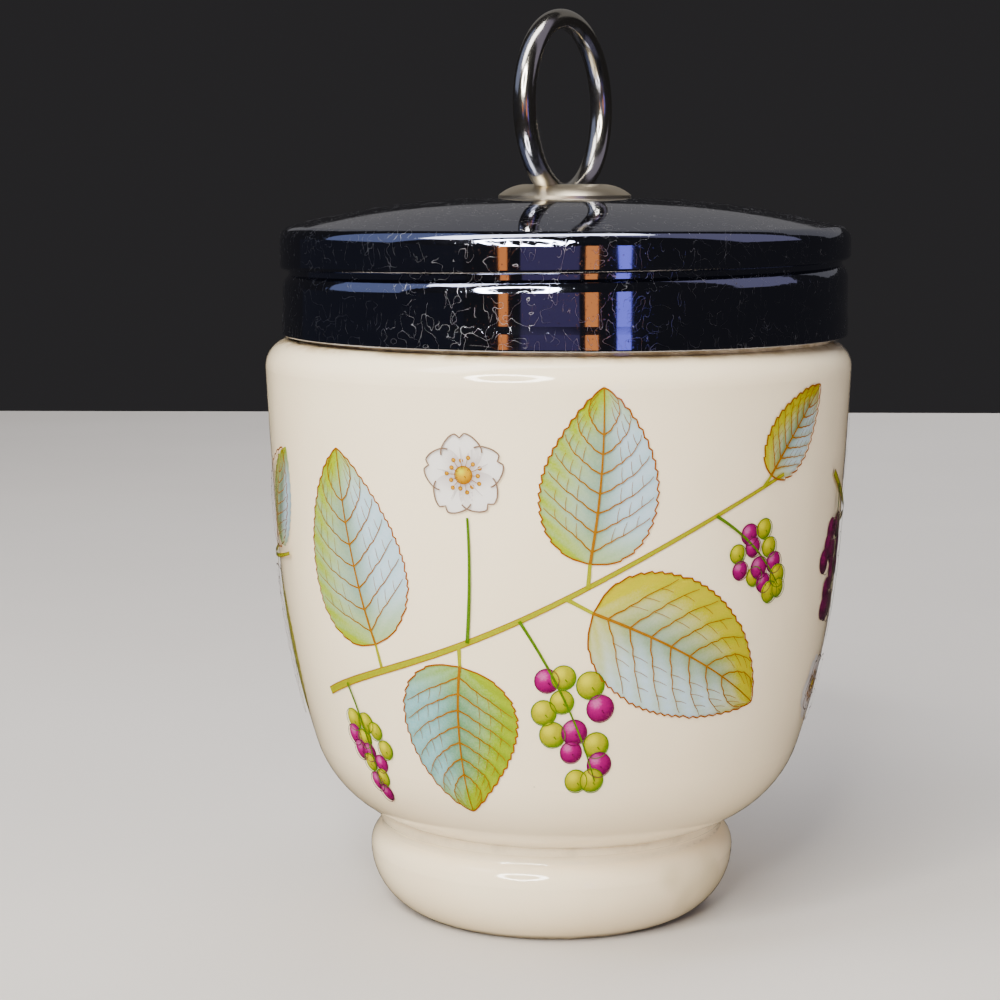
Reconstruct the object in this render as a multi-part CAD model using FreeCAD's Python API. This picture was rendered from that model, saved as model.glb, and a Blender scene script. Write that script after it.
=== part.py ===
import FreeCAD, Part
import math
import os

# Porcelain egg coddler with a screw-on metal lid. Millimetres, +Z up.
# The origin is on the table, under the middle of the bowl.
# Every radius is measured from the axis of its own group: bowl, closure or foot.

# Hand-made offsets along X of the closure and the foot from the bowl's axis
CLOSURE_OFFSET = 0.8
FOOT_OFFSET = -0.65

# Bowl, outside; headings are the wall's slope from the vertical, in degrees
BODY_RADIUS = 36.55
SHOULDER_RADIUS = 3.4
SIDE_RADIUS = 646.0
BELLY_RADIUS = 106.3
TURN_RADIUS = 14.64
HEADING_AT_SHOULDER = 2.42
HEADING_AT_BELLY = 4.56
HEADING_AT_TURN = 17.14
HEADING_AT_FOOT = 75.0

# Foot
FOOT_HEIGHT = 12.77
BOWL_SINK = 0.86
FOOT_RADIUS = 23.17
FOOT_WIDEST_HEIGHT = 7.6
FOOT_BASE_RADIUS = 18.85
FOOT_BASE_ROUND = 0.5
FOOT_BASE_ROUND_END = -60.0
FLANGE_INSET = 1.42
FLANGE_RISE = 2.6
COLLAR_RADIUS = 22.0
COLLAR_WIDTH = 1.4
COLLAR_BULGE = 0.15
COVE_DEPTH = 0.12
FOOT_RING_WIDTH = 2.3
RECESS_DEPTH = 9.5
RECESS_DRAFT = 1.0
RECESS_ROUND = 2.0

# Bowl, inside
WALL = 3.2
NECK_WALL = 3.0
INNER_SHOULDER_LENGTH = 5.5
BASE_THICKNESS = 4.5
FLOOR_DISH = 0.4
FLOOR_HEADING = 88.0

# Threads: angles are in degrees from +X, the front is at -90
THREAD_PITCH = 3.0
THREAD_FADE = 28.0
THREAD_STEP = 5.0

# Neck and its moulded thread
NECK_RADIUS = 33.3
NECK_HEIGHT = 12.6
RIM_OUTER_ROUND = 0.6
RIM_INNER_ROUND = 1.1
CUP_THREAD_HEIGHT = 1.05
CUP_THREAD_HALF_WIDTH = 0.85
CUP_THREAD_CREST_HALF = 0.22
CUP_THREAD_CREST_ROUND = 0.07
CUP_THREAD_SINK = 1.2
CUP_THREAD_START = -332.0
CUP_THREAD_SWEEP = 340.0
CUP_THREAD_BELOW_RIM = 0.82
CUP_THREAD_ABOVE_GROOVE = 1.25

# Lid, pressed from sheet
SHEET = 0.5
THREAD_CLEARANCE = 0.3
UPPER_BAND_STEP = 0.3
BAND_STEP_DROP = 0.55
BAND_STEP_HALF = 0.15
HEM_STEP = 0.1
HEM_HEIGHT = 2.9
HEM_BLEND = 0.9
HEM_ROUND = 0.3
LID_GAP = 0.48
LID_EDGE_ROUND = 1.7
DOME_RADIUS = 100.0
PAD_RADIUS = 8.25
GROOVE_DEPTH = 0.75
GROOVE_FLOOR_HALF = 0.3
GROOVE_UPPER_REACH = 0.95
GROOVE_UPPER_ROUND = 0.6
GROOVE_LOWER_REACH = 2.05
LID_THREAD_START = -250.0
LID_THREAD_SWEEP = 320.0
GROOVE_UPPER_OVERRUN = 12.0
GROOVE_LOWER_OVERRUN = 8.0

# Sealing ring, between the rim and the lid's underside
SEAL_THICKNESS = 1.0
SEAL_WIDTH = 2.5
SEAL_INSET = 0.1
SEAL_GAP = 0.05

# Boss, spigot and backing washer
BOSS_EDGE_HEIGHT = 0.3
BOSS_HEIGHT = 1.65
BOSS_TOP_RADIUS = 4.5
SPIGOT_RADIUS = 3.0
SPIGOT_CLEARANCE = 0.05
WASHER_RADIUS = 7.5
WASHER_THICKNESS = 1.0
WASHER_ROUND = 0.2
RIVET_HEAD_RADIUS = 4.4
RIVET_HEAD_HEIGHT = 0.9

# Finger ring
RING_RADIUS = 10.64
RING_WIRE_RADIAL = 2.5
RING_WIRE_AXIAL = 2.85
RING_BITE = 1.1
RING_HOLE_RISE = 0.17
RING_PLANE_ANGLE = 63.3
RING_LEAN = 1.0

ORIGIN = FreeCAD.Vector(0, 0, 0)
UP = FreeCAD.Vector(0, 0, 1)
FRONT = -90.0
SAME_POINT = 1e-6


def at(radius, height):
    """A point of a half-profile: distance from the axis, and height."""
    return FreeCAD.Vector(radius, 0, height)


def arc(start, middle, end):
    return Part.Arc(start, middle, end).toShape()


def round_arc(centre, radius, start_angle, end_angle):
    """Arc about a centre; angles in degrees from the outward radial direction."""
    def on_arc(angle):
        turn = math.radians(angle)
        return at(centre.x + radius * math.cos(turn), centre.z + radius * math.sin(turn))
    return arc(on_arc(start_angle), on_arc((start_angle + end_angle) / 2.0), on_arc(end_angle))


def wall_arc(start, radius, start_heading, end_heading):
    """Convex wall arc going down from start, its slope growing between the two headings."""
    first = math.radians(start_heading)
    centre = at(start.x - radius * math.cos(first), start.z + radius * math.sin(first))
    return round_arc(centre, radius, -start_heading, -end_heading)


def wall_drop(radius, start_heading, end_heading):
    """Height of a wall arc between two headings."""
    return radius * (math.sin(math.radians(end_heading)) - math.sin(math.radians(start_heading)))


def upright_arc(start, end):
    """Arc that leaves start vertically and ends at end, on either side of it."""
    rise = end.z - start.z
    run = start.x - end.x
    radius = (rise ** 2 + run ** 2) / (2.0 * run)
    half_turn = math.asin(rise / radius) / 2.0
    centre = at(start.x - radius, start.z)
    return arc(start, centre + at(radius * math.cos(half_turn), radius * math.sin(half_turn)), end)


def reversed_edge(edge):
    """The same arc, drawn from its other end."""
    middle = edge.valueAt((edge.FirstParameter + edge.LastParameter) / 2.0)
    return arc(end_of(edge), middle, start_of(edge))


def start_of(edge):
    return edge.firstVertex(True).Point


def end_of(edge):
    return edge.lastVertex(True).Point


def chain(items):
    """Joins points and curved edges, in order, into one closed wire with straight lines between them."""
    edges = []
    for index, item in enumerate(items):
        following = items[(index + 1) % len(items)]
        here = item
        if isinstance(item, Part.Edge):
            edges.append(item)
            here = end_of(item)
        there = start_of(following) if isinstance(following, Part.Edge) else following
        if here.distanceToPoint(there) > SAME_POINT:
            edges.append(Part.makeLine(here, there))
    return Part.Wire(edges)


def turned(profile, axis_x):
    """Solid of revolution of a half-profile about the vertical axis at axis_x."""
    solid = Part.Face(profile).revolve(ORIGIN, UP, 360)
    solid.translate(FreeCAD.Vector(axis_x, 0, 0))
    return solid


# Heights of the cup
WIDEST_HEIGHT = (FOOT_HEIGHT - BOWL_SINK
                 + wall_drop(TURN_RADIUS, HEADING_AT_TURN, HEADING_AT_FOOT)
                 + wall_drop(BELLY_RADIUS, HEADING_AT_BELLY, HEADING_AT_TURN)
                 + wall_drop(SIDE_RADIUS, HEADING_AT_SHOULDER, HEADING_AT_BELLY))
SHOULDER_CENTRE_HEIGHT = WIDEST_HEIGHT + SHOULDER_RADIUS * math.sin(math.radians(HEADING_AT_SHOULDER))
SHOULDER_HEIGHT = SHOULDER_CENTRE_HEIGHT + SHOULDER_RADIUS
RIM_HEIGHT = SHOULDER_HEIGHT + NECK_HEIGHT
FLOOR_HEIGHT = RECESS_DEPTH + BASE_THICKNESS

# Radii of the closure
CUP_THREAD_RADIUS = NECK_RADIUS + CUP_THREAD_HEIGHT
LOWER_BAND_RADIUS = CUP_THREAD_RADIUS + THREAD_CLEARANCE + SHEET
UPPER_BAND_RADIUS = LOWER_BAND_RADIUS + UPPER_BAND_STEP
HEM_RADIUS = LOWER_BAND_RADIUS + HEM_STEP
GROOVE_RADIUS = LOWER_BAND_RADIUS - GROOVE_DEPTH
SEAL_OUTER_RADIUS = NECK_RADIUS - SEAL_INSET
SEAL_INNER_RADIUS = SEAL_OUTER_RADIUS - SEAL_WIDTH

# The cup's thread ends just below the rim, and the lid's groove lies under that thread
CUP_THREAD_AT_FRONT = (RIM_HEIGHT - CUP_THREAD_BELOW_RIM - CUP_THREAD_HALF_WIDTH
                       - THREAD_PITCH * (CUP_THREAD_START + CUP_THREAD_SWEEP - FRONT) / 360.0)
GROOVE_CENTRE = CUP_THREAD_AT_FRONT - CUP_THREAD_ABOVE_GROOVE

# The lid comes down until its underside meets the sealing ring
SEAL_TOP = RIM_HEIGHT + SEAL_THICKNESS
UNDERSIDE_DROP = DOME_RADIUS - math.sqrt((DOME_RADIUS - SHEET) ** 2 - (SEAL_OUTER_RADIUS - PAD_RADIUS) ** 2)
PAD_HEIGHT = SEAL_TOP + SEAL_GAP + UNDERSIDE_DROP
LID_BOTTOM = SHOULDER_HEIGHT + LID_GAP
BOSS_TOP = PAD_HEIGHT + BOSS_HEIGHT
RING_CENTRE = BOSS_TOP + RING_HOLE_RISE + RING_RADIUS - RING_WIRE_RADIAL / 2.0


def bowl_outside():
    """Tapering bowl with a rounded shoulder and a tucked-in base."""
    side = wall_arc(at(BODY_RADIUS, WIDEST_HEIGHT), SIDE_RADIUS, HEADING_AT_SHOULDER, HEADING_AT_BELLY)
    belly = wall_arc(end_of(side), BELLY_RADIUS, HEADING_AT_BELLY, HEADING_AT_TURN)
    turn = wall_arc(end_of(belly), TURN_RADIUS, HEADING_AT_TURN, HEADING_AT_FOOT)
    shoulder_centre = at(BODY_RADIUS - SHOULDER_RADIUS * math.cos(math.radians(HEADING_AT_SHOULDER)),
                         SHOULDER_CENTRE_HEIGHT)
    shoulder = round_arc(shoulder_centre, SHOULDER_RADIUS, 90, -HEADING_AT_SHOULDER)
    return turned(chain([at(0, SHOULDER_HEIGHT), shoulder, side, belly, turn, at(0, end_of(turn).z)]), 0)


def foot_outside():
    """Bulging foot under a thin collar that runs up into the bowl."""
    base_round = round_arc(at(FOOT_BASE_RADIUS - FOOT_BASE_ROUND, FOOT_BASE_ROUND), FOOT_BASE_ROUND, -90,
                           FOOT_BASE_ROUND_END)
    widest = at(FOOT_RADIUS, FOOT_WIDEST_HEIGHT)
    run = widest.x - end_of(base_round).x
    rise = widest.z - end_of(base_round).z
    bulge_radius = (rise ** 2 + run ** 2) / (2.0 * run)
    bulge = round_arc(at(FOOT_RADIUS - bulge_radius, FOOT_WIDEST_HEIGHT), bulge_radius,
                      -math.degrees(math.asin(rise / bulge_radius)), 0)
    flange_top = at(FOOT_RADIUS - FLANGE_INSET, FOOT_WIDEST_HEIGHT + FLANGE_RISE)
    flange = upright_arc(widest, flange_top)
    collar_low = at(COLLAR_RADIUS, FOOT_HEIGHT - COLLAR_WIDTH)
    cove = arc(flange_top, at(flange_top.x - COVE_DEPTH, (flange_top.z + collar_low.z) / 2.0), collar_low)
    collar = arc(collar_low, at(COLLAR_RADIUS + COLLAR_BULGE, FOOT_HEIGHT - COLLAR_WIDTH / 2.0),
                 at(COLLAR_RADIUS, FOOT_HEIGHT))
    return turned(chain([ORIGIN, base_round, bulge, flange, cove, collar, at(0, FOOT_HEIGHT)]), FOOT_OFFSET)


def neck_outside():
    """Plain cylinder under the lid, with its rim rounded on the outside."""
    rim_round = round_arc(at(NECK_RADIUS - RIM_OUTER_ROUND, RIM_HEIGHT - RIM_OUTER_ROUND),
                          RIM_OUTER_ROUND, 90, 0)
    root = SHOULDER_CENTRE_HEIGHT
    return turned(chain([at(0, RIM_HEIGHT), rim_round, at(NECK_RADIUS, root), at(0, root)]), CLOSURE_OFFSET)


def cavity():
    """The inside of the cup, with the rim rounded on the inside."""
    mouth = NECK_RADIUS - NECK_WALL
    above = RIM_HEIGHT + RIM_INNER_ROUND
    rim_round = round_arc(at(mouth + RIM_INNER_ROUND, RIM_HEIGHT - RIM_INNER_ROUND), RIM_INNER_ROUND, 90, 180)

    inner_side = SIDE_RADIUS - WALL
    side_centre = at(BODY_RADIUS - SIDE_RADIUS * math.cos(math.radians(HEADING_AT_SHOULDER)),
                     WIDEST_HEIGHT + SIDE_RADIUS * math.sin(math.radians(HEADING_AT_SHOULDER)))
    side_top_height = WIDEST_HEIGHT - INNER_SHOULDER_LENGTH / 2.0
    top_heading = math.degrees(math.asin((side_centre.z - side_top_height) / inner_side))
    side = round_arc(side_centre, inner_side, -top_heading, -HEADING_AT_BELLY)
    belly = wall_arc(end_of(side), BELLY_RADIUS - WALL, HEADING_AT_BELLY, HEADING_AT_TURN)

    side_top = start_of(side)
    shoulder_top = at(mouth, side_top.z + INNER_SHOULDER_LENGTH)
    shoulder_middle = (side_top + shoulder_top) / 2.0
    shoulder_low = upright_arc(side_top, shoulder_middle)
    shoulder_high = upright_arc(shoulder_top, shoulder_middle)

    low = end_of(belly)
    turn_drop = low.z - FLOOR_HEIGHT - FLOOR_DISH
    turn = wall_arc(low, turn_drop / wall_drop(1.0, HEADING_AT_TURN, FLOOR_HEADING),
                    HEADING_AT_TURN, FLOOR_HEADING)
    profile = chain([at(0, above), at(mouth + RIM_INNER_ROUND, above), rim_round, shoulder_high,
                     reversed_edge(shoulder_low), side, belly, turn, at(0, FLOOR_HEIGHT)])
    return turned(profile, CLOSURE_OFFSET)


def foot_recess():
    """Hollow under the foot that leaves a ring to stand on."""
    base = FOOT_BASE_RADIUS - FOOT_RING_WIDTH
    top = base - RECESS_DRAFT
    below = -BASE_THICKNESS
    ceiling_round = round_arc(at(top - RECESS_ROUND, RECESS_DEPTH - RECESS_ROUND), RECESS_ROUND, 0, 90)
    return turned(chain([at(0, below), at(base, below), at(base, 0), ceiling_round, at(0, RECESS_DEPTH)]),
                  FOOT_OFFSET)


def thread_height(centre_at_front, angle):
    """Height of a right-hand thread at an angle, from its height at the front."""
    return centre_at_front + THREAD_PITCH * (angle - FRONT) / 360.0


def thread_sweep(section, centre_at_front, start, sweep, fade_shift):
    """Sweeps a section of radii and heights along the thread.

    At both ends the section moves out by fade_shift, so that the thread dies into its wall.
    """
    count = int(math.ceil(sweep / THREAD_STEP))
    places = []
    for index in range(count + 1):
        angle = start + sweep * index / count
        from_end = min(angle - start, start + sweep - angle)
        share = 0.5 + 0.5 * math.cos(math.pi * min(from_end / THREAD_FADE, 1.0))
        radius = NECK_RADIUS + fade_shift * share
        turn = math.radians(angle)
        places.append(FreeCAD.Vector(CLOSURE_OFFSET + radius * math.cos(turn), radius * math.sin(turn),
                                     thread_height(centre_at_front, angle)))
    path = Part.BSplineCurve()
    path.interpolate(places)
    placed = section.copy()
    placed.translate(FreeCAD.Vector(fade_shift, 0, 0))
    placed.rotate(ORIGIN, UP, start)
    placed.translate(FreeCAD.Vector(CLOSURE_OFFSET, 0, places[0].z))
    pipe = Part.BRepOffsetAPI.MakePipeShell(Part.Wire(path.toShape()))
    pipe.setBiNormalMode(UP)
    pipe.add(placed)
    pipe.build()
    pipe.makeSolid()
    return pipe.shape()


def cup_thread():
    """Rounded porcelain ridge, one start, that dies into the neck at both ends."""
    buried = NECK_RADIUS - CUP_THREAD_HEIGHT
    crest_edge = CUP_THREAD_RADIUS - CUP_THREAD_CREST_ROUND
    crest = arc(at(crest_edge, -CUP_THREAD_CREST_HALF), at(CUP_THREAD_RADIUS, 0),
                at(crest_edge, CUP_THREAD_CREST_HALF))
    half = CUP_THREAD_HALF_WIDTH
    section = chain([at(buried, -half), at(NECK_RADIUS, -half), crest,
                     at(NECK_RADIUS, half), at(buried, half)])
    return thread_sweep(section, CUP_THREAD_AT_FRONT, CUP_THREAD_START, CUP_THREAD_SWEEP, -CUP_THREAD_SINK)


def groove_section(inset):
    """Section of the lid's rolled groove; inset 0 is the outer face, SHEET the inner one."""
    upper_centre = at(UPPER_BAND_RADIUS - GROOVE_UPPER_ROUND, GROOVE_UPPER_REACH)
    away = at(upper_centre.x - GROOVE_RADIUS, upper_centre.z - GROOVE_FLOOR_HALF)
    flank = math.degrees(math.atan2(away.z, away.x) - math.asin(GROOVE_UPPER_ROUND / away.Length))
    upper = round_arc(upper_centre, GROOVE_UPPER_ROUND - inset, -GROOVE_UPPER_OVERRUN, flank - 90)

    lower_run = GROOVE_LOWER_REACH - GROOVE_FLOOR_HALF
    lower_round = (GROOVE_DEPTH ** 2 + lower_run ** 2) / (2.0 * GROOVE_DEPTH)
    lower_turn = math.degrees(math.asin(lower_run / lower_round))
    lower_centre = at(LOWER_BAND_RADIUS - lower_round, -GROOVE_LOWER_REACH)
    lower = round_arc(lower_centre, lower_round - inset, lower_turn, GROOVE_LOWER_OVERRUN)

    floor_radius = GROOVE_RADIUS - inset
    floor_high = at(floor_radius,
                    end_of(upper).z - (end_of(upper).x - floor_radius) * math.tan(math.radians(flank)))
    lower_slope = math.tan(math.radians(lower_turn))
    floor_low = at(floor_radius, start_of(lower).z + (start_of(lower).x - floor_radius) / lower_slope)
    outward = UPPER_BAND_RADIUS + 3 * SHEET
    return chain([at(outward, start_of(upper).z), upper, floor_high, floor_low, lower,
                  at(outward, end_of(lower).z)])


def lid_profile(inset):
    """Half-profile of the lid without its groove; inset 0 is the outer face, SHEET the inner one."""
    dome_centre = at(PAD_RADIUS, PAD_HEIGHT - DOME_RADIUS)
    edge_x = UPPER_BAND_RADIUS - LID_EDGE_ROUND
    rise = math.sqrt((DOME_RADIUS - LID_EDGE_ROUND) ** 2 - (edge_x - dome_centre.x) ** 2)
    edge_centre = at(edge_x, dome_centre.z + rise)
    dome_angle = math.degrees(math.atan2(rise, edge_x - dome_centre.x))
    dome = round_arc(dome_centre, DOME_RADIUS - inset, 90, dome_angle)
    edge = round_arc(edge_centre, LID_EDGE_ROUND - inset, dome_angle, 0)
    step = GROOVE_CENTRE - BAND_STEP_DROP
    hem_top = LID_BOTTOM + HEM_HEIGHT
    outline = [at(0, PAD_HEIGHT - inset), dome, edge,
               at(UPPER_BAND_RADIUS - inset, step + BAND_STEP_HALF),
               at(LOWER_BAND_RADIUS - inset, step - BAND_STEP_HALF),
               at(LOWER_BAND_RADIUS - inset, hem_top),
               at(HEM_RADIUS - inset, hem_top - HEM_BLEND)]
    if inset:
        below = LID_BOTTOM - inset
        return chain(outline + [at(HEM_RADIUS - inset, below), at(0, below)])
    foot_round = round_arc(at(HEM_RADIUS - HEM_ROUND, LID_BOTTOM + HEM_ROUND), HEM_ROUND, 0, -90)
    return chain(outline + [foot_round, at(0, LID_BOTTOM)])


def make_cup():
    """Porcelain cup: foot, bowl, shoulder and threaded neck, fired as one piece."""
    outside = bowl_outside().fuse([foot_outside(), neck_outside(), cup_thread()])
    return outside.cut([cavity(), foot_recess()])


def make_lid_shell():
    """Pressed sheet lid: shallow dome, two bands, one rolled thread and a stiff hem."""
    fade_shift = GROOVE_DEPTH + UPPER_BAND_STEP + SHEET
    faces = []
    for inset in (0, SHEET):
        tool = thread_sweep(groove_section(inset), GROOVE_CENTRE, LID_THREAD_START,
                            LID_THREAD_SWEEP, fade_shift)
        faces.append(turned(lid_profile(inset), CLOSURE_OFFSET).cut(tool))
    hole = Part.makeCylinder(SPIGOT_RADIUS + SPIGOT_CLEARANCE, 3 * SHEET,
                             FreeCAD.Vector(CLOSURE_OFFSET, 0, PAD_HEIGHT - 2 * SHEET), UP)
    return faces[0].cut([faces[1], hole])


def make_sealing_ring():
    """Flat rubber ring that lies on the rim, inside the lid's thread."""
    profile = chain([at(SEAL_INNER_RADIUS, RIM_HEIGHT), at(SEAL_OUTER_RADIUS, RIM_HEIGHT),
                     at(SEAL_OUTER_RADIUS, SEAL_TOP), at(SEAL_INNER_RADIUS, SEAL_TOP)])
    return turned(profile, CLOSURE_OFFSET)


def make_backing_washer():
    """Plain washer inside the lid that spreads the pull of the riveted spigot."""
    top = PAD_HEIGHT - SHEET
    low = top - WASHER_THICKNESS
    bore = SPIGOT_RADIUS + SPIGOT_CLEARANCE
    rim = round_arc(at(WASHER_RADIUS - WASHER_ROUND, low + WASHER_ROUND), WASHER_ROUND, 0, -90)
    return turned(chain([at(bore, top), at(WASHER_RADIUS, top), rim, at(bore, low)]), CLOSURE_OFFSET)


def make_ring_handle():
    """Finger ring of oval wire, cut flat where it stands in the boss."""
    centre = FreeCAD.Vector(RING_RADIUS, 0, 0)
    axial_end = FreeCAD.Vector(RING_RADIUS, RING_WIRE_AXIAL / 2.0, 0)
    radial_end = FreeCAD.Vector(RING_RADIUS + RING_WIRE_RADIAL / 2.0, 0, 0)
    oval = Part.Ellipse(axial_end, radial_end, centre)
    section = Part.Wire([oval.toShape(0, math.pi), oval.toShape(math.pi, 2 * math.pi)])
    ring = Part.Face(section).revolve(ORIGIN, FreeCAD.Vector(0, 1, 0), 360)
    ring.translate(FreeCAD.Vector(0, 0, RING_CENTRE))
    ring.rotate(FreeCAD.Vector(0, 0, BOSS_TOP), FreeCAD.Vector(1, 0, 0), -RING_LEAN)
    ring.rotate(ORIGIN, UP, RING_PLANE_ANGLE)
    ring.translate(FreeCAD.Vector(CLOSURE_OFFSET, 0, 0))
    trim_height = 2 * RING_WIRE_RADIAL
    trim_base = FreeCAD.Vector(CLOSURE_OFFSET, 0, BOSS_TOP - RING_BITE - trim_height)
    return ring.cut(Part.makeCylinder(RING_RADIUS, trim_height, trim_base, UP))


def make_ring_boss(ring):
    """Low domed boss brazed round the foot of the ring, its spigot riveted over the washer."""
    top_edge = at(BOSS_TOP_RADIUS, BOSS_TOP)
    base_edge = at(PAD_RADIUS, PAD_HEIGHT + BOSS_EDGE_HEIGHT)
    middle = (top_edge + base_edge) / 2.0 + at(BOSS_EDGE_HEIGHT, BOSS_EDGE_HEIGHT)
    dome = arc(top_edge, middle, base_edge)
    head_top = PAD_HEIGHT - SHEET - WASHER_THICKNESS
    head_sphere = (RIVET_HEAD_RADIUS ** 2 + RIVET_HEAD_HEIGHT ** 2) / (2.0 * RIVET_HEAD_HEIGHT)
    head_turn = math.degrees(math.asin(RIVET_HEAD_RADIUS / head_sphere))
    head = round_arc(at(0, head_top - RIVET_HEAD_HEIGHT + head_sphere), head_sphere, head_turn - 90, -90)
    profile = chain([at(0, BOSS_TOP), dome, at(PAD_RADIUS, PAD_HEIGHT), at(SPIGOT_RADIUS, PAD_HEIGHT),
                     at(SPIGOT_RADIUS, head_top), head])
    return turned(profile, CLOSURE_OFFSET).cut(ring)


def save(name, shape):
    Part.makeCompound(shape.Solids).exportStep("parts/" + name + ".step")


os.makedirs("parts", exist_ok=True)
ring_handle = make_ring_handle()
save("cup", make_cup())
save("lid_shell", make_lid_shell())
save("sealing_ring", make_sealing_ring())
save("backing_washer", make_backing_washer())
save("ring_handle", ring_handle)
save("ring_boss", make_ring_boss(ring_handle))
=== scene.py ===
import bpy
import math
import random
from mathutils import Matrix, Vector


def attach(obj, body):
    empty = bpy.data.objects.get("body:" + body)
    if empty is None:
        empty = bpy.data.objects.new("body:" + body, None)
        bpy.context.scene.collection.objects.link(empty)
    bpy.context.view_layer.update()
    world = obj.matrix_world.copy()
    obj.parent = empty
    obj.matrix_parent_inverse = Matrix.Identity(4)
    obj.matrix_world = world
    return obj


# Porcelain egg coddler, in metres, in the frame of its CAD model
MM = 0.001

# The bowl's outside, as in the CAD source: radius and heights at the widest place, then its arcs
BODY_RADIUS = 36.55
WIDEST_HEIGHT = 68.695
WALL_ARCS = ((646.0, 2.42, 4.56), (106.3, 4.56, 17.14), (14.64, 17.14, 75.0))
PRINT_RADIUS = 35.6

# Stains and painted shade on the porcelain, in millimetres: each pair is where a mark starts and where it is
# full
STAIN_AND_SHADE_UNDER_LID = (71.3, 72.2)
STAIN_AND_SHADE_UNDER_LID_TOP = (73.8, 72.4)
OUTSIDE_OF_NECK = (31.5, 32.5)
STAIN_AND_SHADE_OVER_FOOT = (10.6, 11.8)
STAIN_AND_SHADE_OVER_FOOT_TOP = (13.4, 12.4)
STAIN_ROUND_FOOT = (16.0, 10.0)
DARKER_AT_FOOT_BOTTOM = (1.1, 0.3)

# Glaze
GLAZE_IOR = 1.52
GLAZE_COAT = 0.3
GLAZE_COAT_ROUGHNESS = 0.03


def linear(red, green, blue):
    """Linear colour from 0-255 display values."""
    return tuple((value / 255.0) ** 2.2 for value in (red, green, blue)) + (1.0,)


def mixed(first, second, share):
    return tuple(a + (b - a) * share for a, b in zip(first, second))


def smooth(low, high, value):
    share = min(max((value - low) / (high - low), 0.0), 1.0)
    return share * share * (3.0 - 2.0 * share)


# Materials

def new_material(name):
    material = bpy.data.materials.new(name)
    material.use_nodes = True
    tree = material.node_tree
    return material, tree, tree.nodes["Principled BSDF"]


def node(tree, kind, **settings):
    made = tree.nodes.new(kind)
    for key, value in settings.items():
        if key in made.inputs:
            made.inputs[key].default_value = value
        else:
            setattr(made, key, value)
    return made


def noise(tree, coordinates, scale, detail=2.0, rough=0.5):
    made = node(tree, "ShaderNodeTexNoise", Scale=scale, Detail=detail, Roughness=rough)
    tree.links.new(coordinates, made.inputs["Vector"])
    return made.outputs["Fac"]


def spread(tree, value, low, high, out_low=0.0, out_high=1.0):
    made = node(tree, "ShaderNodeMapRange")
    made.interpolation_type = "SMOOTHSTEP"
    for socket, number in (("From Min", low), ("From Max", high), ("To Min", out_low), ("To Max", out_high)):
        made.inputs[socket].default_value = number
    tree.links.new(value, made.inputs["Value"])
    return made.outputs["Result"]


def times(tree, first, second, operation="MULTIPLY"):
    made = node(tree, "ShaderNodeMath", operation=operation)
    for socket, value in zip(made.inputs, (first, second)):
        if isinstance(value, float):
            socket.default_value = value
        else:
            tree.links.new(value, socket)
    return made.outputs[0]


def blend_colour(tree, share, first, second, mode="MIX"):
    made = node(tree, "ShaderNodeMix", data_type="RGBA", blend_type=mode)
    for name, value in (("Factor", share), ("A", first), ("B", second)):
        socket = next(s for s in made.inputs if s.name == name and s.enabled)
        if isinstance(value, (tuple, float)):
            socket.default_value = value
        else:
            tree.links.new(value, socket)
    return next(s for s in made.outputs if s.enabled)


def bump(tree, shader, height, distance, strength=1.0):
    made = node(tree, "ShaderNodeBump", Strength=strength, Distance=distance)
    tree.links.new(height, made.inputs["Height"])
    tree.links.new(made.outputs["Normal"], shader.inputs["Normal"])


def between(tree, value, limits):
    """Share of the way from the first to the second of two limits in millimetres."""
    return spread(tree, value, limits[0] * MM, limits[1] * MM)


def glaze(shader):
    shader.inputs["IOR"].default_value = GLAZE_IOR
    shader.inputs["Coat Weight"].default_value = GLAZE_COAT
    shader.inputs["Coat Roughness"].default_value = GLAZE_COAT_ROUGHNESS


def object_position(tree):
    return node(tree, "ShaderNodeTexCoord").outputs["Object"]


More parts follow.
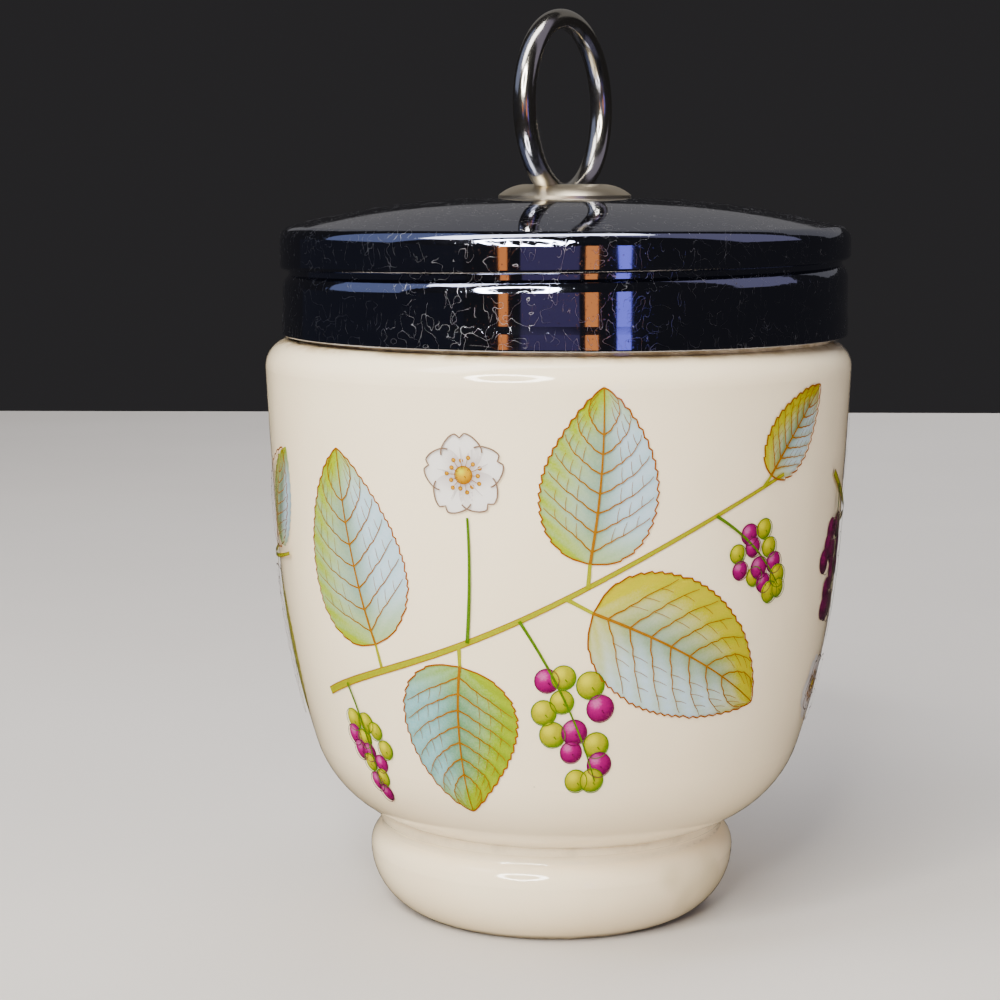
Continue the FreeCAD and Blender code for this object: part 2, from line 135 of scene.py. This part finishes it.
def porcelain_material():
    """Warm white glaze with faint stains and painted shade under the lid and in the crevice over the foot, a
    faint stain round the foot, darker at the foot's bottom edge, and small kiln specks.
    """
    material, tree, shader = new_material("glazed_porcelain")
    place = object_position(tree)
    parts = node(tree, "ShaderNodeSeparateXYZ")
    tree.links.new(place, parts.inputs[0])
    height = parts.outputs["Z"]
    reach = times(tree, times(tree, parts.outputs["X"], parts.outputs["X"]),
                  times(tree, parts.outputs["Y"], parts.outputs["Y"]), "ADD")
    outside = spread(tree, reach, *((limit * MM) ** 2 for limit in OUTSIDE_OF_NECK))

    cloud = spread(tree, noise(tree, place, 45.0, 3.0), 0.35, 0.7)
    colour = blend_colour(tree, cloud, linear(253, 235, 198), linear(249, 229, 190))
    patchy_noise = noise(tree, place, 260.0, 4.0, 0.65)
    # Brown band just under the lid's edge on the neck's outside: a stain with painted shade from the lid over
    # it
    under_lid_stain_and_shade = times(tree, between(tree, height, STAIN_AND_SHADE_UNDER_LID), spread(tree, patchy_noise, 0.35, 0.65, 0.1, 0.8))
    under_lid_stain_and_shade = times(tree, times(tree, under_lid_stain_and_shade, outside), between(tree, height, STAIN_AND_SHADE_UNDER_LID_TOP))
    colour = blend_colour(tree, under_lid_stain_and_shade, colour, linear(178, 150, 104))
    # Darker beige in the crevice over the foot: a stain with painted crease shade
    crevice_stain_and_shade = times(tree, between(tree, height, STAIN_AND_SHADE_OVER_FOOT), between(tree, height, STAIN_AND_SHADE_OVER_FOOT_TOP))
    crevice_stain_and_shade = times(tree, crevice_stain_and_shade, spread(tree, patchy_noise, 0.45, 0.7, 0.0, 0.35))
    colour = blend_colour(tree, crevice_stain_and_shade, colour, linear(190, 172, 140))
    low_stain = times(tree, spread(tree, noise(tree, place, 75.0, 2.0), 0.62, 0.72, 0.0, 0.45),
                      between(tree, height, STAIN_ROUND_FOOT))
    colour = blend_colour(tree, low_stain, colour, linear(212, 196, 150))
    # Darker brown at the foot's bottom edge, strongest next to the floor
    foot_bottom_darkening = times(tree, between(tree, height, DARKER_AT_FOOT_BOTTOM), spread(tree, patchy_noise, 0.3, 0.6, 0.5, 1.0))
    colour = blend_colour(tree, foot_bottom_darkening, colour, linear(168, 152, 126))

    specks = node(tree, "ShaderNodeTexVoronoi", Scale=150.0)
    tree.links.new(place, specks.inputs["Vector"])
    chosen = times(tree, spread(tree, specks.outputs["Distance"], 0.034, 0.014),
                   spread(tree, noise(tree, place, 60.0, 0.0), 0.58, 0.62))
    colour = blend_colour(tree, chosen, colour, linear(96, 72, 48))
    tree.links.new(colour, shader.inputs["Base Color"])

    tree.links.new(spread(tree, patchy_noise, 0.3, 0.7, 0.05, 0.085), shader.inputs["Roughness"])
    glaze(shader)
    bump(tree, shader, noise(tree, place, 95.0, 1.0), 0.00022)
    return material


def hairlines(tree, place, scale, turn, stretch, width, patch_low):
    """Curved hairline scratches: level lines of a stretched noise, broken up by a patchy mask."""
    mapping = node(tree, "ShaderNodeMapping")
    mapping.inputs["Rotation"].default_value = turn
    mapping.inputs["Scale"].default_value = stretch
    tree.links.new(place, mapping.inputs["Vector"])
    field = noise(tree, mapping.outputs[0], scale, 0.8)
    away = times(tree, field, 0.5, "SUBTRACT")
    away = times(tree, away, away)
    line = spread(tree, away, width * width, width * width * 0.06)
    patch = noise(tree, place, scale * 0.45, 1.0)
    return times(tree, line, spread(tree, patch, patch_low, patch_low + 0.12))


def plated_material(name, tint, dull, deposit, wear):
    """Bright plating: near mirror, with hairline scratches, a little haze and fine grit."""
    material, tree, shader = new_material(name)
    place = object_position(tree)
    shader.inputs["Metallic"].default_value = 1.0
    layers = (hairlines(tree, place, 420.0, (0.4, 0.9, 0.2), (1.0, 0.5, 1.0), 0.0017, 0.48),
              hairlines(tree, place, 640.0, (1.3, 0.3, 1.1), (0.6, 1.0, 1.0), 0.0026, 0.46),
              hairlines(tree, place, 1000.0, (2.1, 1.4, 0.5), (1.0, 1.0, 0.4), 0.0045, 0.46))
    scratches = times(tree, times(tree, layers[0], layers[1], "MAXIMUM"), layers[2], "MAXIMUM")
    haze = spread(tree, noise(tree, place, 120.0, 4.0, 0.6), 0.42, 0.75)
    grit = spread(tree, noise(tree, place, 2600.0, 2.0, 0.7), 0.66, 0.74)
    colour = blend_colour(tree, times(tree, scratches, wear), tint, linear(228, 224, 220))
    colour = blend_colour(tree, times(tree, grit, deposit), colour, linear(196, 184, 158))
    tree.links.new(colour, shader.inputs["Base Color"])
    rough = times(tree, times(tree, haze, 0.05), dull, "ADD")
    rough = times(tree, rough, times(tree, scratches, wear * 0.6), "ADD")
    rough = times(tree, rough, times(tree, grit, deposit * 0.5), "ADD")
    tree.links.new(rough, shader.inputs["Roughness"])
    bump(tree, shader, times(tree, times(tree, scratches, wear), grit, "ADD"), 0.000003)
    return material


def rubber_material():
    material, tree, shader = new_material("buff_rubber")
    place = object_position(tree)
    grain = noise(tree, place, 900.0, 3.0)
    tree.links.new(blend_colour(tree, grain, linear(176, 158, 128), linear(198, 182, 152)),
                   shader.inputs["Base Color"])
    shader.inputs["Roughness"].default_value = 0.75
    bump(tree, shader, grain, 0.00008)
    return material


def steel_material():
    material, tree, shader = new_material("washer_steel")
    place = object_position(tree)
    shader.inputs["Metallic"].default_value = 1.0
    grain = noise(tree, place, 1500.0, 3.0)
    tree.links.new(blend_colour(tree, grain, linear(150, 149, 147), linear(190, 188, 184)),
                   shader.inputs["Base Color"])
    tree.links.new(spread(tree, grain, 0.2, 0.8, 0.22, 0.4), shader.inputs["Roughness"])
    return material


def ink_material(name):
    """Printed colour with the glaze's gloss: the mesh's own colours with a fine grain."""
    material, tree, shader = new_material(name)
    place = object_position(tree)
    colour = node(tree, "ShaderNodeAttribute", attribute_name="ink").outputs["Color"]
    grain = spread(tree, noise(tree, place, 4200.0, 2.0, 0.7), 0.35, 0.65, 0.0, 0.08)
    paper = blend_colour(tree, grain, colour, linear(236, 228, 214))
    rich = node(tree, "ShaderNodeHueSaturation", Saturation=1.45, Value=0.86)
    tree.links.new(paper, rich.inputs["Color"])
    tree.links.new(rich.outputs[0], shader.inputs["Base Color"])
    shader.inputs["Roughness"].default_value = 0.09
    glaze(shader)
    return material


# The printed sprays: flat drawings in millimetres, across the front and up, laid on the bowl

def wall_point(height):
    """Radius of the bowl's outside at a height, with the wall's slope there."""
    radius, top = BODY_RADIUS, WIDEST_HEIGHT
    for curve, first, last in WALL_ARCS:
        first, last = math.radians(first), math.radians(last)
        centre = (radius - curve * math.cos(first), top + curve * math.sin(first))
        bottom = centre[1] - curve * math.sin(last)
        if height >= bottom or curve == WALL_ARCS[-1][0]:
            slope = math.asin((centre[1] - height) / curve)
            return centre[0] + curve * math.cos(slope), slope
        radius, top = centre[0] + curve * math.cos(last), bottom


def on_bowl(across, height, lift):
    radius, slope = wall_point(height)
    turn = across / PRINT_RADIUS
    radius += lift * math.cos(slope)
    return Vector((radius * math.sin(turn), -radius * math.cos(turn), height - lift * math.sin(slope))) * MM


class Print:
    """Collects flat coloured patches for one mesh."""

    def __init__(self, name, lift):
        self.name = name
        self.lift = lift
        self.points = []
        self.colours = []
        self.faces = []

    def grid(self, rows):
        """Adds a sheet from rows of ((across, height), colour)."""
        start = len(self.points)
        width = len(rows[0])
        for row in rows:
            for (across, height), colour in row:
                self.points.append(on_bowl(across, height, self.lift))
                self.colours.append(colour)
        for row in range(len(rows) - 1):
            for column in range(width - 1):
                first = start + row * width + column
                self.faces.append((first, first + 1, first + width + 1, first + width))
        self.lift += 0.0004

    def line(self, path, start_width, end_width, colour, edge=None):
        """Adds a ribbon along a flat path, tapering from one width to the other."""
        rows = []
        for index, point in enumerate(path):
            before = path[max(index - 1, 0)]
            after = path[min(index + 1, len(path) - 1)]
            along = (after - before).normalized()
            side = Vector((-along.y, along.x))
            share = index / (len(path) - 1)
            half = (start_width + (end_width - start_width) * share) / 2.0
            if edge is None:
                rows.append([(point - side * half, colour), (point + side * half, colour)])
            else:
                inner = half * 0.55
                rows.append([(point - side * half, edge), (point - side * inner, colour),
                             (point + side * inner, colour), (point + side * half, edge)])
        self.grid(rows)

    def disc(self, centre, radius, shade):
        """Adds a round patch; shade gives its colour from a unit offset."""
        rows = []
        for ring in range(6):
            reach = ring / 5.0
            row = []
            for step in range(21):
                turn = math.tau * step / 20.0
                offset = Vector((math.cos(turn), math.sin(turn))) * reach
                row.append((centre + offset * radius, shade(offset)))
            rows.append(row)
        self.grid(rows)

    def build(self, material):
        mesh = bpy.data.meshes.new(self.name)
        mesh.from_pydata(self.points, [], self.faces)
        ink = mesh.color_attributes.new("ink", "FLOAT_COLOR", "POINT")
        for value, colour in zip(ink.data, self.colours):
            value.color = colour
        mesh.polygons.foreach_set("use_smooth", [True] * len(mesh.polygons))
        mesh.materials.append(material)
        piece = bpy.data.objects.new(self.name, mesh)
        bpy.context.scene.collection.objects.link(piece)
        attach(piece, "cup")


def curve_points(corners, count):
    """Points of a Bezier curve through its end corners."""
    made = []
    for index in range(count + 1):
        share = index / count
        layer = [Vector(corner) for corner in corners]
        while len(layer) > 1:
            layer = [a.lerp(b, share) for a, b in zip(layer, layer[1:])]
        made.append(layer[0])
    return made


OUTLINE = linear(140, 84, 40)
VEIN = linear(146, 98, 40)
PALE = linear(198, 216, 226)
MIST = linear(150, 186, 190)
LIME = linear(150, 164, 30)
GREEN = linear(74, 104, 36)
GOLD = linear(186, 172, 4)
PLUM = linear(140, 44, 100)
PLUM_LIGHT = linear(196, 130, 166)
PLUM_DARK = linear(84, 24, 58)
BERRY_GREEN = linear(160, 158, 22)
BERRY_LIGHT = linear(216, 210, 96)
PLUM_BLACK = linear(52, 10, 40)
STEM = linear(150, 152, 60)
PETAL = linear(244, 241, 236)
PETAL_SHADE = linear(196, 188, 186)
PETAL_EDGE = linear(122, 104, 92)
CENTRE = linear(196, 150, 40)

LEAF_TONES = {
    "pale": (PALE, MIST, LIME),
    "lime": (PALE, LIME, GOLD),
    "deep": (MIST, GREEN, LIME),
}


LEAF_STEPS = 72
LEAF_HALF_STEPS = 8
VEIN_PAIRS = 7
VEIN_STEPS = 10
VEIN_REACH = 0.94


def leaf_width(share):
    """Half-width of an ovate leaf along its length, 1 at the widest."""
    return 2.437 * math.sqrt(share) * (1.0 - share) ** 0.85


def leaf(sheets, lines, base, tip, width, bend, tone, chance):
    """An ovate, finely toothed leaf from base to tip; bend moves its middle, chance its waves."""
    along = tip - base
    side = Vector((-along.y, along.x)).normalized()
    middle = (base + tip) / 2.0 + side * bend
    spine = curve_points((base, middle, tip), LEAF_STEPS)
    light, mid, warm = LEAF_TONES[tone]
    teeth = round(along.length * 0.9)

    def place(index, across):
        share = index / LEAF_STEPS
        before, after = spine[max(index - 1, 0)], spine[min(index + 1, LEAF_STEPS)]
        direction = (after - before).normalized()
        out = Vector((-direction.y, direction.x))
        tooth = (share * teeth) % 1.0
        reach = width / 2.0 * leaf_width(share)
        reach += 0.38 * tooth * min(1.0, reach / 1.5) * abs(across) ** 3
        wave = 0.25 * math.sin(share * 9.0 + chance) * abs(across) * (1.0 if across > 0 else -1.0)
        return spine[index] + out * (reach * across + wave * (share * (1 - share)))

    rows = []
    for index in range(LEAF_STEPS + 1):
        share = index / LEAF_STEPS
        row = []
        for step in range(-LEAF_HALF_STEPS, LEAF_HALF_STEPS + 1):
            across = step / LEAF_HALF_STEPS
            body = mixed(light, warm, smooth(-0.5, 0.9, across + 0.5 * share - 0.25) * 0.85)
            ripple = 0.5 + 0.5 * math.sin((share * 8.5 - abs(across) * 2.2) * math.tau)
            body = mixed(body, mid, 0.34 * ripple)
            rib = smooth(0.55, 0.0, abs(across)) * smooth(0.0, 0.2, share) * smooth(1.0, 0.65, share)
            body = mixed(body, GREEN, 0.5 * rib)
            body = mixed(body, warm, smooth(0.7, 1.0, share) * 0.75)
            body = mixed(body, warm, smooth(0.3, 0.0, share) * 0.6)
            row.append((place(index, across), body))
        rows.append(row)
    sheets.grid(rows)

    for edge in (-1.0, 1.0):
        lines.line([place(index, edge) for index in range(LEAF_STEPS + 1)], 0.2, 0.2, OUTLINE)
    lines.line(spine, 0.36, 0.12, VEIN)
    for number in range(VEIN_PAIRS):
        start = 5 + number * 8
        for edge in (-1.0, 1.0):
            path = []
            for step in range(VEIN_STEPS + 1):
                reach = step / VEIN_STEPS
                index = min(LEAF_STEPS, round(start + (11.0 * reach + 5.0 * reach * reach)))
                path.append(place(index, edge * VEIN_REACH * reach))
            lines.line(path, 0.2, 0.08, VEIN)
            for fork in (4, 6, 8):
                root = path[fork]
                ahead = place(min(LEAF_STEPS, start + fork + 11), edge * VEIN_REACH * (fork / VEIN_STEPS))
                end = root.lerp(ahead, 0.62)
                lines.line([root, root.lerp(end, 0.5) + side * 0.08, end], 0.08, 0.05, VEIN)


def berry(fruits, lines, centre, radius, dark, mid, light):
    def shade(offset):
        glow = (offset - Vector((-0.32, 0.38))).length
        colour = mixed(light, mid, smooth(0.1, 0.75, glow))
        return mixed(colour, dark, smooth(0.75, 1.45, glow))

    fruits.disc(centre, radius, shade)
    ring = [centre + Vector((math.cos(math.tau * k / 20), math.sin(math.tau * k / 20))) * radius
            for k in range(21)]
    lines.line(ring, 0.11, 0.11, dark)
    mark = [centre + Vector((0.12, -0.12)) * radius, centre + Vector((0.3, -0.34)) * radius]
    lines.line(mark, 0.16, 0.1, dark)


def bunch(prints, root, hang, size, ripe, chance):
    """A tapering hanging cluster of round currants on a thin stalk."""
    lines, fruits = prints[1:]
    dice = random.Random(chance)
    path = curve_points((root, root.lerp(hang, 0.5) + Vector((1.2, 0.8)), hang), 14)
    lines.line(path, 0.4, 0.16, GREEN)
    side = Vector((-(hang - root).y, (hang - root).x)).normalized()
    rows = (2, 3, 3, 2, 2, 1)
    for row, count in enumerate(rows):
        spot = path[min(14, 5 + row * 2)]
        for column in range(count):
            across = (column - (count - 1) / 2.0) * size * 0.86 + dice.uniform(-0.25, 0.25) * size
            middle = spot + side * across + Vector((0.0, dice.uniform(-0.4, 0.1) * size))
            green = dice.random() > ripe
            tones = (GREEN, BERRY_GREEN, BERRY_LIGHT) if green else (PLUM_DARK, PLUM, PLUM_LIGHT)
            if ripe > 0.95:
                tones = (PLUM_BLACK, PLUM_DARK, PLUM)
            berry(fruits, lines, middle, size / 2.0 * dice.uniform(0.86, 1.08), *tones)


def blossom(prints, centre, size, turn):
    """An open white blossom of five broad petals round a golden middle."""
    sheets, lines, fruits = prints
    for petal in range(5):
        angle = turn + math.tau * petal / 5.0
        out = Vector((math.cos(angle), math.sin(angle)))
        side = Vector((-out.y, out.x))

        def place(share, across):
            reach = size * 0.5 * (0.1 + 0.9 * share) * (1.0 - 0.10 * abs(across) ** 2)
            notch = 0.06 * size * smooth(0.8, 1.0, share) * math.exp(-(across / 0.25) ** 2)
            half = size * 0.25 * math.sin(math.pi * (0.12 + 0.72 * share)) ** 0.8
            return centre + out * (reach - notch) + side * (half * across)

        rows = []
        for row in range(13):
            share = row / 12.0
            rows.append([(place(share, step / 5.0),
                          mixed(PETAL_SHADE, PETAL, smooth(0.05, 0.6, share * (1.1 - 0.4 * abs(step / 5.0)))))
                         for step in range(-5, 6)])
        sheets.grid(rows)
        rim = [place(k / 12.0, -1.0) for k in range(6, 13)] + [place(1.0, k / 5.0) for k in range(-4, 6)]
        rim += [place(1.0 - k / 12.0, 1.0) for k in range(1, 7)]
        lines.line(rim, 0.18, 0.18, PETAL_EDGE)
        lines.line([place(0.2, 0.0), place(0.62, 0.06)], 0.14, 0.05, PETAL_SHADE)
    berry(fruits, lines, centre, size * 0.105, VEIN, CENTRE, BERRY_LIGHT)
    for stamen in range(14):
        angle = math.tau * stamen / 14.0 + turn
        reach = size * (0.17 if stamen % 2 else 0.21)
        end = centre + Vector((math.cos(angle), math.sin(angle))) * reach
        lines.line([centre.lerp(end, 0.45), end], 0.08, 0.06, VEIN)
        fruits.disc(end, 0.26, lambda offset: mixed(CENTRE, OUTLINE, smooth(0.3, 1.0, offset.length)))


def spray(prints, shift, drawing):
    """Draws one spray along its stem: leaves, bunches and blossoms leave it at shares of its length."""
    sheets, lines = prints[:2]
    offset = Vector((shift, 0.0))
    main = curve_points([Vector(corner) + offset for corner in drawing["stem"]], 100)
    lines.line(main, 1.0, 0.45, STEM, OUTLINE)
    for number, (share, tip, width, bend, tone) in enumerate(drawing["leaves"]):
        root, tip = main[round(share * 100)], Vector(tip) + offset
        base = root.lerp(tip, 0.12)
        lines.line([root, base], 0.5, 0.4, STEM)
        leaf(sheets, lines, base, tip, width, bend, tone, shift + number)
    for number, (share, hang, size, ripe) in enumerate(drawing["bunches"]):
        bunch(prints, main[round(share * 100)], Vector(hang) + offset, size, ripe, round(shift) + number * 7)
    for share, centre, size, turn in drawing["blossoms"]:
        root, centre = main[round(share * 100)], Vector(centre) + offset
        stalk = curve_points((root, root.lerp(centre, 0.5) + Vector((1.0, 0.0)), centre), 12)
        lines.line(stalk[:10], 0.45, 0.3, GREEN)
        blossom(prints, centre, size, turn)


FRONT_SPRAY = {
    "stem": ((-34, 31), (-20, 37), (-6, 38), (6, 50), (29, 58)),
    "leaves": [(0.20, (-28, 61), 15.0, 1.6, "pale"), (0.40, (-12, 18.5), 15.0, -1.4, "deep"),
               (0.62, (27, 31), 15.5, 1.6, "lime"), (0.66, (5, 69), 13.0, -1.0, "pale"),
               (0.96, (35.5, 68), 7.0, 0.6, "lime")],
    "bunches": [(0.53, (5, 23), 3.2, 0.55), (0.88, (29, 45), 2.6, 0.35), (0.08, (-27, 20), 2.6, 0.5)],
    "blossoms": [(0.42, (-10.5, 59), 9.6, 0.4)],
}
RIGHT_SPRAY = {
    "stem": ((-33, 57), (-18, 46), (-2, 44), (14, 50), (31, 44)),
    "leaves": [(0.22, (-12, 67), 13.0, -1.2, "pale"), (0.38, (-16, 24), 14.5, 1.3, "lime"),
               (0.68, (19, 24), 14.5, 1.2, "deep"), (0.74, (27, 66), 13.0, 1.0, "pale")],
    "bunches": [(0.04, (-30.5, 40), 3.3, 1.0), (0.55, (1, 27), 3.2, 0.7), (0.95, (32, 30), 2.7, 0.3)],
    "blossoms": [(0.55, (5.5, 61.5), 9.2, 0.1), (0.12, (-29.5, 30), 8.8, 0.8)],
}
LEFT_SPRAY = {
    "stem": ((-31, 40), (-16, 52), (0, 50), (14, 42), (34, 47)),
    "leaves": [(0.34, (-17, 67), 13.0, 1.2, "lime"), (0.55, (14, 66), 14.5, -1.3, "pale"),
               (0.50, (-2, 23), 14.0, 1.1, "deep"), (0.78, (28, 26), 13.0, -0.9, "lime"),
               (0.92, (34.5, 60), 7.5, 0.6, "pale")],
    "bunches": [(0.10, (-28, 25), 3.1, 0.6), (0.68, (12, 25), 3.2, 0.8)],
    "blossoms": [(0.28, (-14, 30), 9.2, 0.6)],
}


def make_prints():
    prints = (Print("print_leaves", 0.015), Print("print_lines", 0.09), Print("print_fruit", 0.05))
    third = math.tau * PRINT_RADIUS / 3.0
    for number, drawing in enumerate((FRONT_SPRAY, RIGHT_SPRAY, LEFT_SPRAY)):
        spray(prints, third * number, drawing)
    ink = ink_material("printed_ink")
    for sheet in prints:
        sheet.build(ink)


# Stage: pale floor, soft lights, dark surroundings

MIDDLE = (0, 0, 0.055)


def plane(name, width, depth, material):
    mesh = bpy.data.meshes.new(name)
    mesh.from_pydata([(-width / 2, -depth / 2, 0), (width / 2, -depth / 2, 0),
                      (width / 2, depth / 2, 0), (-width / 2, depth / 2, 0)], [], [(0, 1, 2, 3)])
    mesh.materials.append(material)
    made = bpy.data.objects.new(name, mesh)
    bpy.context.scene.collection.objects.link(made)
    return made


def floor_material():
    material, tree, shader = new_material("pale_floor")
    place = object_position(tree)
    colour = blend_colour(tree, noise(tree, place, 14.0, 3.0), linear(196, 191, 184), linear(188, 183, 176))
    tree.links.new(colour, shader.inputs["Base Color"])
    shader.inputs["Roughness"].default_value = 0.7
    return material


def look_at(thing, target):
    direction = Vector(target) - thing.location
    thing.rotation_euler = direction.to_track_quat("-Z", "Y").to_euler()


def area_light(name, place, size, power, colour, seen=True):
    light = bpy.data.lights.new(name, "AREA")
    light.shape = "RECTANGLE"
    light.size, light.size_y = size
    light.energy = power
    light.color = colour
    made = bpy.data.objects.new(name, light)
    made.location = place
    bpy.context.scene.collection.objects.link(made)
    look_at(made, MIDDLE)
    made.visible_glossy = seen


def ring_light(place, inner, outer, strength):
    """Round studio lamp, whose image is the hollow highlight in the glaze."""
    material, tree, shader = new_material("lamp_face")
    shader.inputs["Base Color"].default_value = (0, 0, 0, 1)
    shader.inputs["Emission Color"].default_value = (1.0, 0.98, 0.95, 1)
    shader.inputs["Emission Strength"].default_value = strength
    steps = 48
    points, faces = [], []
    for step in range(steps):
        turn = math.tau * step / steps
        for radius in (inner, outer):
            points.append((radius * math.cos(turn), radius * math.sin(turn), 0))
        following = (step + 1) % steps
        faces.append((2 * step, 2 * step + 1, 2 * following + 1, 2 * following))
    mesh = bpy.data.meshes.new("ring_lamp")
    mesh.from_pydata(points, [], faces)
    mesh.materials.append(material)
    lamp = bpy.data.objects.new("ring_lamp", mesh)
    bpy.context.scene.collection.objects.link(lamp)
    lamp.location = place
    look_at(lamp, MIDDLE)


# Each lamp: name, place, size in metres, power in watts, colour, and False if reflections leave it out
LAMPS = (
    ("overhead", (-0.16, -0.1, 0.75), (0.24, 0.9), 6.0, (0.97, 0.97, 1.0)),
    ("overhead_left", (-0.55, 0.0, 0.6), (0.6, 0.9), 0.9, (0.5, 0.6, 1.0)),
    ("overhead_right", (0.5, 0.0, 0.6), (0.5, 0.9), 0.5, (0.75, 0.7, 1.0)),
    ("key", (-0.3, -0.5, 0.62), (0.5, 0.5), 4.5, (1.0, 0.95, 0.88), False),
    ("fill", (0.7, -0.35, 0.3), (0.6, 0.6), 1.2, (0.9, 0.87, 1.0), False),
    ("back", (0.3, 0.8, 0.5), (0.7, 0.5), 5.0, (0.95, 0.95, 1.0), False),
    ("strip_amber_left", (-0.47, -1.08, 0.075), (0.07, 0.24), 0.11, (1.0, 0.30, 0.06)),
    ("strip_blue_left", (-0.47, -1.08, -0.1), (0.09, 0.08), 0.035, (0.08, 0.2, 1.0)),
    ("strip_amber", (0.21, -1.15, 0.07), (0.1, 0.34), 0.22, (1.0, 0.32, 0.07)),
    ("strip_violet", (0.44, -1.05, 0.05), (0.11, 0.4), 0.34, (0.25, 0.24, 1.0)),
    ("backdrop", (0.3, 1.2, 0.75), (2.0, 0.8), 0.9, (1.0, 0.97, 0.95)),
    ("veil", (-0.12, -1.25, 0.12), (0.5, 0.3), 0.1, (0.5, 0.36, 0.9)),
    ("blue_haze", (-1.0, -0.1, 0.08), (2.0, 0.35), 0.02, (0.25, 0.4, 1.0)),
)


def make_stage():
    floor = plane("floor", 1.5, 1.3, floor_material())
    floor.visible_glossy = False
    ring_light((-0.19, -0.52, 0.40), 0.12, 0.175, 54.0)
    for lamp in LAMPS:
        area_light(*lamp)
    world = bpy.data.worlds.new("studio")
    world.use_nodes = True
    world.node_tree.nodes["Background"].inputs["Color"].default_value = (0.024, 0.023, 0.0245, 1)
    bpy.context.scene.world = world


def make_camera():
    data = bpy.data.cameras.new("camera")
    data.sensor_width = 36.0
    data.lens = 86.79
    camera = bpy.data.objects.new("camera", data)
    camera.location = (0.0, -0.30266, 0.09194)
    camera.rotation_euler = (math.radians(90.0 - 7.599), 0.0, math.radians(1.375))
    data.clip_start = 0.01
    bpy.context.scene.collection.objects.link(camera)
    bpy.context.scene.camera = camera


def dress(name, material):
    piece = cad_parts[name]
    piece.data.materials.clear()
    piece.data.materials.append(material)


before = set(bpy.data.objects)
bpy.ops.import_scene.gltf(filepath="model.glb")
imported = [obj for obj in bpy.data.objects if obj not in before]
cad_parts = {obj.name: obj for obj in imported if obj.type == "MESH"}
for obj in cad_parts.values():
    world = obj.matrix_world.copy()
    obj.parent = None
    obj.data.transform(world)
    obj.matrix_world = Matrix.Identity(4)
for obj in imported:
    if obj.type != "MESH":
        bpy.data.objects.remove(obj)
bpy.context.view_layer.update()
make_camera()
make_stage()
dress("cup", porcelain_material())
# The lid's tint is darker and bluer than real chrome: painted dark and blue reflections of the room in the
# plating's colour
dress("lid_shell", plated_material("lid_plating", linear(146, 150, 170), 0.045, 0.3, 0.55))
dress("ring_handle", plated_material("ring_plating", linear(186, 181, 170), 0.16, 0.12, 0.12))
# The boss's light cream tint is partly the metal's warm tone and partly a painted highlight for light from
# above
dress("ring_boss", plated_material("boss_plating", linear(222, 208, 178), 0.3, 0.2, 0.12))
dress("sealing_ring", rubber_material())
dress("backing_washer", steel_material())
make_prints()
